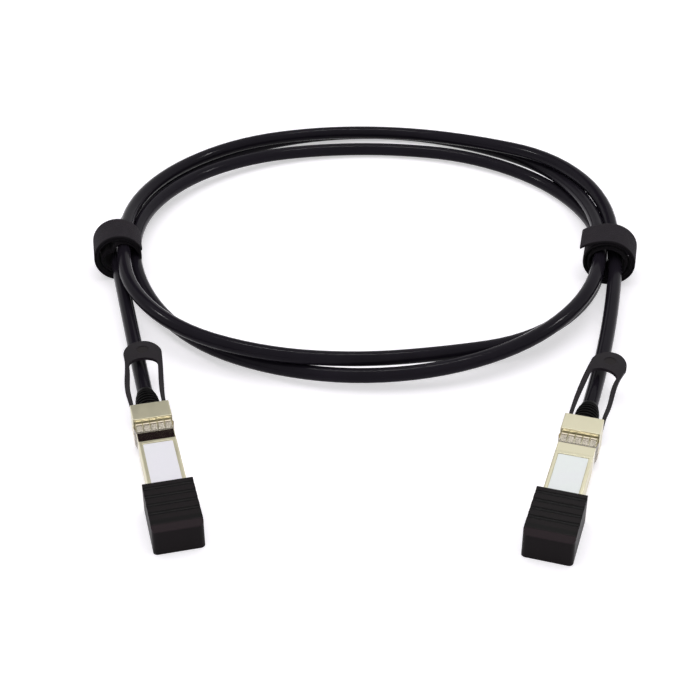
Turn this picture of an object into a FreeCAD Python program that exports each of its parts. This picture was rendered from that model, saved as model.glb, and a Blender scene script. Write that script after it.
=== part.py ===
import FreeCAD, Part
import math
import os

# Passive direct attach copper cable: a twinax cable about 2 m long with a pluggable metal-cased plug on each end,
# wound into a loose hoop and tied with two hook-and-loop straps.  Millimetres, +Z up.  The origin is on the surface
# that the cable lies on, midway between the two plugs, +X runs from the left plug to the right one and the hoop
# lies on the +Y side.
#
# Each plug is built in its own frame: y = 0 is the plane where the wide head begins, the nose points to -y, the
# cable leaves to +y, x is the width and z = 0 is the surface that the plug rests on.

V = FreeCAD.Vector

# --- cable ------------------------------------------------------------------------------------------------
CABLE_D = 5.9              # jacket diameter
CABLE_Z = 6.0              # height of the cable's axis in the plug, also where the two shells meet
JACKET_CLEAR = 0.05        # radial clearance round the jacket in the ferrule and the boot

# --- shell body (the part that enters a cage) -------------------------------------------------------------
BODY_W = 13.55             # width of the shell body
BODY_H = 8.5               # height of the shell body
BODY_L = 47.5              # nose to head
BODY_Z = 1.4               # underside of the body above the surface
BODY_CORNER = 0.5          # rounding of the body's long edges
SIDE_WALL = 1.1            # side walls
FLOOR_T = 1.1              # floor of the lower shell
ROOF_T = 1.2               # roof of the upper shell
COLLAR_SEAT_DEPTH = 0.25   # how far the seat of the spring collar is sunk
COLLAR_SEAT_L = 5.9        # length of that seat from the head
BAND_L = 5.1               # plain polished band between the seat and the label's rim
BAND_DEPTH = 0.12          # how far it lies below the rim

# --- head -------------------------------------------------------------------------------------------------
HEAD_W = 14.2
HEAD_L = 9.0
HEAD_Z = 0.3               # underside of the head
HEAD_TOP = 11.7            # top of the head
HEAD_CORNER = 0.4

# --- label ------------------------------------------------------------------------------------------------
LABEL_RIM = 1.3            # raised rim left all round the recess
LABEL_NOSE = 5.1           # nose to the recess
LABEL_RECESS_DEPTH = 0.35
LABEL_T = 0.12
LABEL_GAP = 0.15           # label to the recess wall
LABEL_CORNER = 0.6

# --- spring-finger collar ---------------------------------------------------------------------------------
COLLAR_T = 0.15
COLLAR_BAND = 0.7          # width of the plain band at the collar's nose side
FINGER_RISE = 0.85         # crest of a finger above the seat
FINGER_TIP = 0.35          # head to the finger's tip
FINGER_CREST = 1.0         # tip to crest
FINGER_ROUND = 0.5         # half the length of the rounded crest
FINGER_ROOT = 0.3          # how far a finger laps the band
FINGER_TOE = 0.3           # height of the tip above the seat
FINGER_SLIT = 0.45         # slit between two fingers
TOP_FINGER_COUNT = 5
SIDE_FINGER_COUNT = 3
BELOW_FINGER_COUNT = 2     # on each side of the latch

# --- paddle card ------------------------------------------------------------------------------------------
CARD_T = 1.0
CARD_SIDE_CLEAR = 0.075    # card to the side walls
CARD_NOSE_GAP = 1.0        # nose to the card's edge
CARD_L = 24.0
CARD_EDGE = 0.25           # chamfer of the card's front edge
LEDGE_W = 0.8              # ledge that carries the card's edges
LEDGE_SETBACK = 8.0        # card's front edge to the ledges
RIB_SETBACK = 10.0         # card's front edge to the ribs that hold it down
RIB_END_GAP = 2.0
PAD_PITCH = 0.8
PAD_COUNT = 10             # on each face
PAD_W = 0.5
PAD_L = 2.2
PAD_T = 0.06
PAD_SETBACK = 0.9          # card's front edge to a signal pad
PAD_GROUND_SETBACK = 0.4   # card's front edge to a ground pad, which makes contact first
PAD_GROUND_EVERY = 3
CHIP_LEAD_COUNT = 4        # on each side
CHIP_W, CHIP_L, CHIP_T = 3.0, 2.6, 0.8
CHIP_LEAD_W, CHIP_LEAD_L, CHIP_LEAD_T = 0.3, 0.6, 0.35

# --- conductors, ferrule, boot ----------------------------------------------------------------------------
PAIR_W, PAIR_H = 2.6, 1.4  # one screened pair of conductors
PAIR_CORNER = 0.6          # rounding of its section
PAIR_CARD_GAP = 2.0        # card to where the screen is cut back
CORE_D = 0.6               # bare conductor
CORE_ON_CARD = 2.0         # length of it that lies on the card
CORE_IN_PAIR = 0.5
MOULD_ON_CARD = 3.5
MOULD_POST_GAP = 3.85      # mould to the screw posts
MOULD_SIDE_GAP = 1.3       # mould to the side walls
MOULD_GAP = 0.9            # mould to the shell's floor and roof
MOULD_CORNER = 0.8
WIRE_ROOM = 2.6            # room beside the pairs where they pass into the heads
FERRULE_Y0, FERRULE_Y1 = 2.6, 6.6
FERRULE_R = 3.6
FERRULE_BORE = 2.4
FERRULE_STEP = 0.6         # length of the narrow mouth
FERRULE_FLANGE_R = 4.2
FERRULE_FLANGE = (3.4, 4.4)
SEAT_CLEAR = 0.05          # clearance of what the two shells clamp
BOOT_FLANGE = (6.8, 8.2)
BOOT_FLANGE_R = 4.75
BOOT_BASE_R = 4.5
BOOT_RIB_R = 4.6           # its widest rib, behind the head
BOOT_TIP_R = 3.5
BOOT_TAPER = 4.0           # how late the boot narrows, 1 for a plain cone
BOOT_L = 13.6              # length outside the head
BOOT_RIBS = 7
BOOT_GROOVE = 0.6          # depth of the grooves between its ribs
BOOT_GROOVE_W = 0.7
BOOT_FLANK = 0.25          # slope on each side of a groove
BOOT_COLLAR = 0.5          # plain stretch before the first groove
BOOT_TIP = 1.2             # plain stretch after the last
BOOT_WALL = 0.25           # least wall left under a groove

# --- latch ------------------------------------------------------------------------------------------------
PIVOT_Y, PIVOT_Z = 1.2, 1.5
PIN_R = 0.4
PIN_CLEAR = 0.05           # running clearance in the lever
BARREL_R = 0.8
LEVER_T = 0.7
LEVER_GAP = 0.05           # lever above the body's underside
LEVER_W = 4.2
LEVER_NOSE = -11.0         # front end of the lever
BOSS_W = 2.6
BOSS_Y0, BOSS_Y1 = -10.6, -8.2
BOSS_DROP = 0.85           # how far the locking boss stands below the body
BOSS_LAND = 0.5            # flat at the boss's lowest edge
POCKET_CLEAR = 0.2         # lever to the pocket's sides
POCKET_TOP = 3.25          # roof of the lever's pocket
POCKET_SKIN = 0.4          # metal over that pocket
POCKET_WALL = 0.6          # metal round its sides
WING_X = (5.3, 6.45)       # the lever's two rear wings
WING_Y1 = 6.2
WING_TOP = 2.45            # top of a wing beside the peg
WING_SLOPE = 0.19
WING_HEEL = 0.3            # how far the wing's underside rises to its rear end
LEVER_TRAVEL_DEG = 4.58
SPRING_W = 2.4
SPRING_T = 0.15
SPRING_ROOT = -3.2         # rear end of the leaf
SPRING_BEND = 4.8          # lever's front end to where the leaf leaves the pocket's roof
SPRING_TIP = 1.4           # lever's front end to where it presses
SPRING_TOE = 0.7
SPRING_GAP = 0.05          # leaf to lever

# --- pull tab ---------------------------------------------------------------------------------------------
TAB_TRAVEL = 2.0
ARM_X = (5.3, 6.6)         # an arm inside the head
ARM_Z = (3.9, 5.1)
ARM_TIP_Y = 1.0
PEG_L = 1.4
PEG_Z = 2.7                # underside of the peg that works the lever
PEG_SIDE_GAP = 0.2
ARM_SLOT = 0.15            # clearance round an arm
TAB_T = 1.2
TAB_W = {"left": 14.5, "right": 13.7}       # width of the finger end
# The arms behind the head: (distance behind it, half the width over both, width of one arm)
TAB_ARMS = {"left": [(3.0, 6.65, 1.35), (7.0, 6.75, 1.5), (11.0, 7.15, 1.8), (19.0, 7.2, 1.9)],
            "right": [(3.0, 6.75, 1.35), (7.0, 6.75, 1.35), (11.0, 6.95, 1.5), (19.0, 6.8, 1.8)]}
TAB_REACH = {"left": 35.8, "right": 37.6}   # head to the tip of the finger end
TAB_GRIP = 8.4             # length of the finger end behind the opening
TAB_ROUND = 6.2            # length of its rounded tip
TAB_OPENING_ROUND = 3.2    # length of the opening's rounded end
TAB_CLIMB = [(0.0, 4.5), (4.5, 6.4), (11.0, 9.0), (25.0, 12.0), (38.0, 15.1)]  # (behind head, mid-height)
TAB_BEND = {"left": [(0.0, 0.0), (7.0, -0.1), (11.0, -0.2), (16.0, 0.3), (22.0, 1.0), (29.5, 1.65), (38.0, 2.7)],
            "right": [(0.0, 0.0), (3.0, 0.25), (7.0, 0.4), (11.0, 0.9), (15.0, 1.3), (20.0, 1.5), (25.5, 2.3),
                      (29.0, 2.9), (38.0, 4.5)]}
TAB_BEND_SPAN = 4.0        # length over which the bend's direction is taken
GRIP_DISH_W, GRIP_DISH_L, GRIP_DISH_DEPTH = 4.6, 3.6, 0.45     # thumb recess

# --- screws -----------------------------------------------------------------------------------------------
SCREW_Y, SCREW_X = -11.0, 4.5
SCREW_R = 0.75
SCREW_HEAD_R, SCREW_HEAD_H = 1.25, 0.65
SCREW_L = 5.4
SCREW_SOCKET_R, SCREW_SOCKET_DEPTH = 0.55, 0.4
SCREW_SOCKET_SIDES = 6
POST_R = 1.15

# --- dust cap ---------------------------------------------------------------------------------------------
CAP_W = 17.5
CAP_H = 11.4
CAP_L = 23.8
CAP_CAVITY_L = 18.2
CAP_GRIP = {"left": 11.0, "right": 13.2}   # how far each cap is pushed on
CAP_CLEAR = 0.05           # cap to body
CAP_CORNER = 1.6
CAP_SLOPE_DROP, CAP_SLOPE_RUN = 1.6, 2.2   # sloped front edge
CAP_GROOVES = 4
CAP_GROOVE_PITCH = 4.4
CAP_GROOVE_FIRST = 2.7
CAP_GROOVE_R, CAP_GROOVE_DEPTH = 1.3, 0.45

# --- where the plugs and the hoop lie ---------------------------------------------------------------------
PLUG_AT = {"left": (-79.8, 10.7), "right": (73.2, 2.7)}     # centre of the head's front plane
PLUG_TURN = {"left": 14.0, "right": -17.2}                  # degrees, noses turned towards each other
HOOP_X, HOOP_Y = -4.7, 148.9                                # centre of the hoop
STRAP_AT = {"left": 189.8, "right": -11.6}                  # degrees round the hoop

# --- straps -----------------------------------------------------------------------------------------------
STRAP_W = 16.0
STRAP_R = 8.6              # inside radius
STRAP_T = 0.95             # one layer of tape
STRAP_FROM_CENTRE = {"left": 104.2, "right": 107.3}         # strap's axis from the hoop's centre
STRAP_LAP = {"left": (-110.0, 165.0), "right": (-110.0, 100.0)} # second layer, degrees from outwards
FLAP_L = {"left": 0.0, "right": 12.0}                       # loose end that stands off

# Outer shape of the turns, section by section: (degrees round the hoop, radius of the middle, height of the
# middle, half width, half height, tilt of the width from outwards).  Three strands lie round the back and two
# round the front, where they pass over each other.
BACK_SECTIONS = [(189.8, 102.9, 10.7, 6.2, 6.2, 0), (182, 102.8, 10.4, 6.3, 6.2, 0),
                 (160, 100.8, 7.6, 8.0, 5.4, 0), (125, 101.1, 5.6, 10.0, 4.9, 0), (88, 98.2, 5.3, 11.2, 4.7, 0),
                 (50, 102.0, 6.4, 8.6, 5.5, 0), (20, 105.2, 8.8, 7.0, 6.0, 0), (-2, 107.2, 9.4, 6.6, 7.1, 0),
                 (-11.6, 107.4, 9.35, 6.6, 7.1, 0)]
FRONT_SECTIONS = [(189.8, 101.0, 11.7, 5.9, 2.2, 60), (198, 100.9, 11.0, 5.9, 2.2, 66),
                  (216, 102.6, 8.2, 5.9, 2.6, 85), (243, 100.3, 6.4, 5.8, 2.9, 97), (268, 97.3, 5.5, 6.3, 3.0, 137),
                  (290, 100.0, 5.6, 6.2, 3.1, 150), (310, 106.4, 6.2, 6.0, 3.2, 190),
                  (330, 107.0, 8.0, 5.9, 2.7, 240), (341, 106.3, 9.0, 5.9, 2.2, 268),
                  (348.4, 106.0, 9.5, 5.8, 2.2, 280)]

# Cable from each plug to its strap: points after the two on the plug's own axis, then the slot in the strap as
# (radius, height)
LEAD_AXIS_Y = 32.0
LEAD_POINTS = {"left": [(-94.4, 70.6, 7.2), (-101.2, 99.1, 8.4)],
               "right": [(91.0, 63.1, 7.1), (98.0, 93.1, 8.6)]}
LEAD_SLOT = {"left": (105.4, 9.1), "right": (111.1, 10.2)}
LEAD_RUN_ON = 4.0          # tube taken past the strap's middle before it is trimmed there

CABLE_R = CABLE_D / 2
BODY_TOP = BODY_Z + BODY_H
FLOOR_Z = BODY_Z + FLOOR_T
ROOF_Z = BODY_TOP - ROOF_T
INSIDE_W = BODY_W - 2 * SIDE_WALL
CARD_Z = (BODY_Z + BODY_TOP - CARD_T) / 2
CARD_TOP = CARD_Z + CARD_T
CARD_W = INSIDE_W - 2 * CARD_SIDE_CLEAR
CARD_Y0 = -BODY_L + CARD_NOSE_GAP
CARD_Y1 = CARD_Y0 + CARD_L
PAIR_END = CARD_Y1 + PAIR_CARD_GAP
LABEL_Y1 = -COLLAR_SEAT_L - BAND_L - LABEL_RIM
LABEL_Y0 = -BODY_L + LABEL_NOSE
LABEL_HALF_W = BODY_W / 2 - LABEL_RIM
CABLE_END_Y = FERRULE_Y0 + FERRULE_STEP
LEVER_Z = BODY_Z + LEVER_GAP


# --- small helpers ----------------------------------------------------------------------------------------
def box(x0, x1, y0, y1, z0, z1):
    return Part.makeBox(x1 - x0, y1 - y0, z1 - z0, V(x0, y0, z0))


def both_sides(shape):
    """The shape and its mirror image across x = 0."""
    return [shape, shape.mirror(V(0, 0, 0), V(1, 0, 0))]


def prism(points, direction):
    """A closed outline of (x, y, z) points pushed along a vector."""
    corners = [V(*p) for p in points]
    return Part.Face(Part.makePolygon(corners + corners[:1])).extrude(V(*direction))


def slab(width, z0, z1, y0, y1, r_below, r_above):
    """A bar along y whose section is a rectangle with its lower and upper corners rounded."""
    solid = box(-width / 2, width / 2, y0, y1, z0, z1)
    for height, radius in ((z0, r_below), (z1, r_above)):
        edges = [e for e in solid.Edges if is_long_edge(e, width, height, y1 - y0)]
        if radius > 0:
            solid = solid.makeFillet(radius, edges)
    return solid


def is_long_edge(edge, width, height, length):
    middle = edge.CenterOfMass
    along = abs(edge.Length - length) < 1e-6
    return along and abs(abs(middle.x) - width / 2) < 1e-6 and abs(middle.z - height) < 1e-6


def turned(profile):
    """A solid of revolution about the cable's axis from (radius, y) points."""
    points = [V(r, y, CABLE_Z) for r, y in profile]
    face = Part.Face(Part.makePolygon(points + points[:1]))
    return face.revolve(V(0, 0, CABLE_Z), V(0, 1, 0), 360)


def rod_y(radius, y0, y1, x=0.0, z=CABLE_Z):
    return Part.makeCylinder(radius, y1 - y0, V(x, y0, z), V(0, 1, 0))


def fused(shapes):
    whole = shapes[0]
    for other in shapes[1:]:
        whole = whole.fuse(other)
    return whole.removeSplitter()


def cut(shape, tools):
    for tool in tools:
        shape = shape.cut(tool)
    return shape


# --- shells -----------------------------------------------------------------------------------------------
def clamp_seats():
    """The hollow that the two heads share round the conductors, the ferrule and the boot."""
    half = PAIR_W / 2 + WIRE_ROOM
    wires = box(-half, half, -0.1, FERRULE_Y0, POCKET_TOP + POCKET_SKIN, ROOF_Z)
    ferrule = rod_y(FERRULE_R, FERRULE_Y0, BOOT_FLANGE[0])
    flange = rod_y(FERRULE_FLANGE_R, FERRULE_FLANGE[0] - SEAT_CLEAR, FERRULE_FLANGE[1] + SEAT_CLEAR)
    boot = rod_y(BOOT_FLANGE_R, BOOT_FLANGE[0], BOOT_FLANGE[1])
    mouth = rod_y(BOOT_BASE_R, BOOT_FLANGE[1], HEAD_L + 0.1)
    return [wires, ferrule, flange, boot, mouth]


def arm_slots():
    """Side pockets of the head: the arm of the pull tab over the lever's wing, and the arm's way out."""
    x0, x1 = ARM_X[0] - ARM_SLOT, ARM_X[1] + ARM_SLOT
    pocket = box(x0, x1, PIVOT_Y - BARREL_R - POCKET_CLEAR, WING_Y1 + POCKET_CLEAR, HEAD_Z - 0.1,
                 ARM_Z[1] + ARM_SLOT)
    way_out = box(x0, x1, WING_Y1, HEAD_L + 0.1, ARM_Z[0] - ARM_SLOT, ARM_Z[1] + ARM_SLOT)
    return both_sides(pocket.fuse(way_out))


def lever_pocket():
    """Pocket for the lever, open below: a channel under the body and a cross slot for its barrel."""
    half = LEVER_W / 2 + POCKET_CLEAR
    channel = box(-half, half, LEVER_NOSE - POCKET_CLEAR, PIVOT_Y, HEAD_Z - 0.1, POCKET_TOP)
    y0, y1 = PIVOT_Y - BARREL_R - POCKET_CLEAR, PIVOT_Y + BARREL_R + POCKET_CLEAR
    across = ARM_X[1] + ARM_SLOT
    barrel = box(-across, across, y0, y1, HEAD_Z - 0.1, PIVOT_Z + BARREL_R + POCKET_CLEAR)
    return [channel, barrel]


def collar_seat(z0, z1):
    """The ring of metal taken off a body for the spring collar."""
    outer = box(-BODY_W, BODY_W, -COLLAR_SEAT_L, 0, z0 - BODY_H, z1 + BODY_H)
    d = COLLAR_SEAT_DEPTH
    inner = box(-BODY_W / 2 + d, BODY_W / 2 - d, -COLLAR_SEAT_L, 0, BODY_Z + d, BODY_TOP - d)
    return outer.cut(inner)


def lower_shell():
    body = slab(BODY_W, BODY_Z, CABLE_Z, -BODY_L, 0, BODY_CORNER, 0)
    body = body.cut(box(-INSIDE_W / 2, INSIDE_W / 2, -BODY_L - 1, 0, FLOOR_Z, CABLE_Z + 1))
    half = LEVER_W / 2 + POCKET_CLEAR + POCKET_WALL
    channel = box(-half, half, LEVER_NOSE - POCKET_CLEAR - POCKET_WALL, 0, BODY_Z, POCKET_TOP + POCKET_SKIN)
    ledge = box(INSIDE_W / 2 - LEDGE_W, INSIDE_W / 2, CARD_Y0 + LEDGE_SETBACK, CARD_Y1, FLOOR_Z, CARD_Z)
    body = fused([body, channel] + both_sides(ledge)).cut(collar_seat(BODY_Z, CABLE_Z))
    head = slab(HEAD_W, HEAD_Z, CABLE_Z, 0, HEAD_L, HEAD_CORNER, 0)
    shell = cut(body.fuse(head), clamp_seats() + arm_slots() + lever_pocket())
    pin = Part.makeCylinder(PIN_R, HEAD_W + 2, V(-HEAD_W / 2 - 1, PIVOT_Y, PIVOT_Z), V(1, 0, 0))
    return cut(shell, [pin] + shell_screw_solids(0.0)).removeSplitter()


def upper_shell():
    body = slab(BODY_W, CABLE_Z, BODY_TOP, -BODY_L, 0, 0, BODY_CORNER)
    body = body.cut(box(-INSIDE_W / 2, INSIDE_W / 2, -BODY_L - 1, 0, CABLE_Z - 1, ROOF_Z))
    rib = box(INSIDE_W / 2 - LEDGE_W, INSIDE_W / 2, CARD_Y0 + RIB_SETBACK, CARD_Y1 - RIB_END_GAP,
              CARD_TOP, ROOF_Z + 0.1)
    post = Part.makeCylinder(POST_R, ROOF_Z + 0.1 - FLOOR_Z, V(SCREW_X, SCREW_Y, FLOOR_Z))
    body = fused([body] + both_sides(rib) + both_sides(post))
    recess = box(-LABEL_HALF_W, LABEL_HALF_W, LABEL_Y0, LABEL_Y1, BODY_TOP - LABEL_RECESS_DEPTH, BODY_TOP + 1)
    band = box(-BODY_W, BODY_W, -COLLAR_SEAT_L - BAND_L, 0, BODY_TOP - BAND_DEPTH, BODY_TOP + 1)
    body = cut(body, [recess, band, collar_seat(CABLE_Z, BODY_TOP)])
    head = slab(HEAD_W, CABLE_Z, HEAD_TOP, 0, HEAD_L, 0, HEAD_CORNER)
    shell = cut(body.fuse(head), clamp_seats())
    return cut(shell, shell_screw_solids(0.0)).removeSplitter()


def shell_screw_solids(socket_depth):
    """Two countersunk screws that hold the shells together from below."""
    cone = Part.makeCone(SCREW_HEAD_R, SCREW_R, SCREW_HEAD_H, V(SCREW_X, SCREW_Y, BODY_Z))
    shank = Part.makeCylinder(SCREW_R, SCREW_L, V(SCREW_X, SCREW_Y, BODY_Z))
    screw = cone.fuse(shank).removeSplitter()
    if socket_depth > 0:
        corners = [socket_corner(i) for i in range(SCREW_SOCKET_SIDES)]
        screw = screw.cut(prism(corners, (0, 0, socket_depth + 0.1)))
    return both_sides(screw)


def socket_corner(i):
    angle = 2 * math.pi * i / SCREW_SOCKET_SIDES
    return (SCREW_X + SCREW_SOCKET_R * math.cos(angle), SCREW_Y + SCREW_SOCKET_R * math.sin(angle), BODY_Z - 0.1)


def label():
    half = LABEL_HALF_W - LABEL_GAP
    z0 = BODY_TOP - LABEL_RECESS_DEPTH
    plate = box(-half, half, LABEL_Y0 + LABEL_GAP, LABEL_Y1 - LABEL_GAP, z0, z0 + LABEL_T)
    corners = [e for e in plate.Edges if abs(e.Length - LABEL_T) < 1e-6]
    return plate.makeFillet(LABEL_CORNER, corners)


# --- spring-finger collar ---------------------------------------------------------------------------------
def finger_profile():
    """Side view of one finger as (y, height above the seat): up from the band, over the crest, down to the tip."""
    band = -COLLAR_SEAT_L + COLLAR_BAND
    crest = -FINGER_TIP - FINGER_CREST
    lower = [(band - FINGER_ROOT, 0.0), (band, 0.0), (crest - FINGER_ROUND, FINGER_RISE - 1.5 * COLLAR_T),
             (crest, FINGER_RISE - COLLAR_T), (crest + FINGER_ROUND, FINGER_RISE - 2 * COLLAR_T),
             (-FINGER_TIP, FINGER_TOE)]
    upper = [(y, h + COLLAR_T) for y, h in reversed(lower)]
    return lower + upper


def finger_row(count, first, last):
    """Fingers along one side as (start, width) places."""
    pitch = (last - first) / count
    return [(first + i * pitch + FINGER_SLIT / 2, pitch - FINGER_SLIT) for i in range(count)]


def emi_collar():
    d = COLLAR_SEAT_DEPTH
    half_w, z0, z1 = BODY_W / 2 - d, BODY_Z + d, BODY_TOP - d
    t, y0 = COLLAR_T, -COLLAR_SEAT_L
    y1 = y0 + COLLAR_BAND
    band = box(-half_w - t, half_w + t, y0, y1, z0 - t, z1 + t).cut(box(-half_w, half_w, y0, y1, z0, z1))
    gap = LEVER_W / 2 + POCKET_CLEAR
    band = band.cut(box(-gap, gap, y0, y1, z0 - 1, z0))
    pieces = [band]
    for x, w in finger_row(TOP_FINGER_COUNT, -half_w, half_w):
        pieces.append(prism([(x, y, z1 + h) for y, h in finger_profile()], (w, 0, 0)))
    for x, w in finger_row(BELOW_FINGER_COUNT, gap, half_w):
        pieces += both_sides(prism([(x, y, z0 - h) for y, h in finger_profile()], (w, 0, 0)))
    for z, w in finger_row(SIDE_FINGER_COUNT, z0, z1):
        pieces += both_sides(prism([(half_w + h, y, z) for y, h in finger_profile()], (0, 0, w)))
    return fused(pieces)


# --- inside the plug --------------------------------------------------------------------------------------
def paddle_card():
    card = box(-CARD_W / 2, CARD_W / 2, CARD_Y0, CARD_Y1, CARD_Z, CARD_TOP)
    front = [e for e in card.Edges if abs(e.CenterOfMass.y - CARD_Y0) < 1e-6 and abs(e.Length - CARD_W) < 1e-6]
    return card.makeChamfer(CARD_EDGE, front)


def contact_pads():
    pads = []
    first = -(PAD_COUNT - 1) * PAD_PITCH / 2
    for i in range(PAD_COUNT):
        x = first + i * PAD_PITCH
        start = PAD_SETBACK if i % PAD_GROUND_EVERY else PAD_GROUND_SETBACK
        for z in (CARD_TOP, CARD_Z - PAD_T):
            pads.append(box(x - PAD_W / 2, x + PAD_W / 2, CARD_Y0 + start, CARD_Y0 + PAD_SETBACK + PAD_L,
                            z, z + PAD_T))
    return Part.makeCompound(pads)


def memory_chip():
    y = (CARD_Y0 + CARD_Y1) / 2
    body = box(-CHIP_W / 2, CHIP_W / 2, y - CHIP_L / 2, y + CHIP_L / 2, CARD_TOP, CARD_TOP + CHIP_T)
    leads = []
    for i in range(CHIP_LEAD_COUNT):
        at = y - CHIP_L / 2 + (i + 0.5) * CHIP_L / CHIP_LEAD_COUNT
        lead = box(CHIP_W / 2 - 0.1, CHIP_W / 2 + CHIP_LEAD_L, at - CHIP_LEAD_W / 2, at + CHIP_LEAD_W / 2,
                   CARD_TOP, CARD_TOP + CHIP_LEAD_T)
        leads += both_sides(lead)
    return fused([body] + leads)


def wire_pair(z):
    """A screened pair, flat in section, with its two bare conductors on the card."""
    half_h = PAIR_H / 2
    jacket = slab(PAIR_W, z - half_h, z + half_h, PAIR_END, CABLE_END_Y, PAIR_CORNER, PAIR_CORNER)
    surface = CARD_TOP if z > CARD_TOP else CARD_Z
    core_z = surface + math.copysign(CORE_D / 2, z - surface)
    x = (PAIR_W - PAIR_H) / 2
    y0, y1 = CARD_Y1 - CORE_ON_CARD, PAIR_END + CORE_IN_PAIR
    cores = [rod_y(CORE_D / 2, y0, y1, side_x, core_z) for side_x in (-x, x)]
    return fused([jacket] + cores)


def wire_pairs():
    return Part.makeCompound([wire_pair(CARD_TOP + PAIR_H / 2), wire_pair(CARD_Z - PAIR_H / 2)])


def inner_mould():
    """Soft plastic moulded round the solder joints."""
    block = slab(INSIDE_W - 2 * MOULD_SIDE_GAP, FLOOR_Z + MOULD_GAP, ROOF_Z - MOULD_GAP, CARD_Y1 - MOULD_ON_CARD,
                 SCREW_Y - POST_R - MOULD_POST_GAP, MOULD_CORNER, MOULD_CORNER)
    return cut(block, [paddle_card()] + wire_pairs().Solids)


def crimp_ferrule():
    bore = CABLE_R + JACKET_CLEAR
    r, f = FERRULE_R - SEAT_CLEAR, FERRULE_FLANGE_R - SEAT_CLEAR
    y0, y1, (fy0, fy1) = FERRULE_Y0, FERRULE_Y1, FERRULE_FLANGE
    return turned([(FERRULE_BORE, y0), (r, y0), (r, fy0), (f, fy0), (f, fy1), (r, fy1), (r, y1 - 0.3),
                   (r - 0.3, y1), (bore, y1), (bore, CABLE_END_Y), (FERRULE_BORE, CABLE_END_Y)])


def strain_relief():
    """Tapered rubber boot: a flange held between the heads and a ribbed sleeve behind them."""
    bore = CABLE_R + JACKET_CLEAR
    f0, f1 = BOOT_FLANGE
    flange_r, base_r = BOOT_FLANGE_R - SEAT_CLEAR, BOOT_BASE_R - SEAT_CLEAR
    profile = [(bore, f0), (flange_r, f0), (flange_r, f1), (base_r, f1), (base_r, HEAD_L + BOOT_COLLAR)]
    pitch = (BOOT_L - BOOT_COLLAR - BOOT_TIP) / BOOT_RIBS
    for i in range(BOOT_RIBS):
        y = HEAD_L + BOOT_COLLAR + i * pitch
        rib = BOOT_RIB_R - (BOOT_RIB_R - BOOT_TIP_R) * ((i + 1) / BOOT_RIBS) ** BOOT_TAPER
        groove = max(rib - BOOT_GROOVE, bore + BOOT_WALL)
        profile += [(groove, y + BOOT_FLANK), (groove, y + BOOT_FLANK + BOOT_GROOVE_W),
                    (rib, y + 2 * BOOT_FLANK + BOOT_GROOVE_W), (rib, y + pitch)]
    end = HEAD_L + BOOT_L
    profile += [(BOOT_TIP_R - BOOT_FLANK, end), (bore, end)]
    return turned(profile)


# --- latch ------------------------------------------------------------------------------------------------
def latch_pin():
    return Part.makeCylinder(PIN_R, HEAD_W - 0.4, V(-HEAD_W / 2 + 0.2, PIVOT_Y, PIVOT_Z), V(1, 0, 0))


def latch_lever():
    """Rocker under the plug: locking boss in front, barrel on the pin, two ramped wings behind."""
    half, z0, z1 = LEVER_W / 2, LEVER_Z, LEVER_Z + LEVER_T
    bar = box(-half, half, LEVER_NOSE, PIVOT_Y, z0, z1)
    boss_z = BODY_Z - BOSS_DROP
    boss = prism([(-BOSS_W / 2, BOSS_Y0, z0), (-BOSS_W / 2, BOSS_Y1, z0), (-BOSS_W / 2, BOSS_Y1, boss_z),
                  (-BOSS_W / 2, BOSS_Y1 - BOSS_LAND, boss_z)], (BOSS_W, 0, 0))
    barrel = Part.makeCylinder(BARREL_R, 2 * WING_X[1], V(-WING_X[1], PIVOT_Y, PIVOT_Z), V(1, 0, 0))
    top = WING_TOP + WING_SLOPE * (WING_Y1 - PIVOT_Y - BARREL_R)
    x0 = WING_X[0]
    wing = prism([(x0, PIVOT_Y, z0), (x0, WING_Y1, z0 + WING_HEEL), (x0, WING_Y1, top),
                  (x0, PIVOT_Y + BARREL_R, WING_TOP), (x0, PIVOT_Y, PIVOT_Z + BARREL_R)], (WING_X[1] - x0, 0, 0))
    lever = fused([bar, boss, barrel] + both_sides(wing))
    return lever.cut(Part.makeCylinder(PIN_R + PIN_CLEAR, 3 * BODY_W, V(-BODY_W, PIVOT_Y, PIVOT_Z), V(1, 0, 0)))


def latch_spring():
    """Bent leaf between the pocket's roof and the lever."""
    under, over = LEVER_Z + LEVER_T + SPRING_GAP, POCKET_TOP - SPRING_T
    bend, tip = LEVER_NOSE + SPRING_BEND, LEVER_NOSE + SPRING_TIP
    low = [(SPRING_ROOT, over), (bend, over), (tip, under), (tip - SPRING_TOE, under + SPRING_GAP)]
    outline = low + [(y, z + SPRING_T) for y, z in reversed(low)]
    return prism([(-SPRING_W / 2, y, z) for y, z in outline], (SPRING_W, 0, 0))


# --- pull tab ---------------------------------------------------------------------------------------------
def curve_through(points):
    """A smooth edge through a list of vectors."""
    curve = Part.BSplineCurve()
    curve.interpolate(points)
    return curve.toShape()


def tab_bend(side, y):
    """Sideways shift of the flexible tab at a distance from the head's front, straight between its points."""
    for (y0, x0), (y1, x1) in zip(TAB_BEND[side], TAB_BEND[side][1:]):
        if y - HEAD_L <= y1:
            return x0 + (x1 - x0) * max(0.0, y - HEAD_L - y0) / (y1 - y0)
    return TAB_BEND[side][-1][1]


def tab_points(side, outline, sign):
    """Points of the bent tab, each square to its middle line."""
    points = []
    for w, y in outline:
        across = tab_bend(side, y + TAB_BEND_SPAN) - tab_bend(side, y - TAB_BEND_SPAN)
        turn = math.atan2(across, 2 * TAB_BEND_SPAN)
        points.append(V(tab_bend(side, y) + sign * w * math.cos(turn), y - sign * w * math.sin(turn), 0))
    return points


def round_end(half, y, length):
    """Points of half an ellipse between the two sides, as (half width with its sign, y)."""
    turns = [math.pi * i / 8 for i in range(1, 8)]
    return [(half * math.cos(a), y + length * math.sin(a)) for a in turns]


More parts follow.
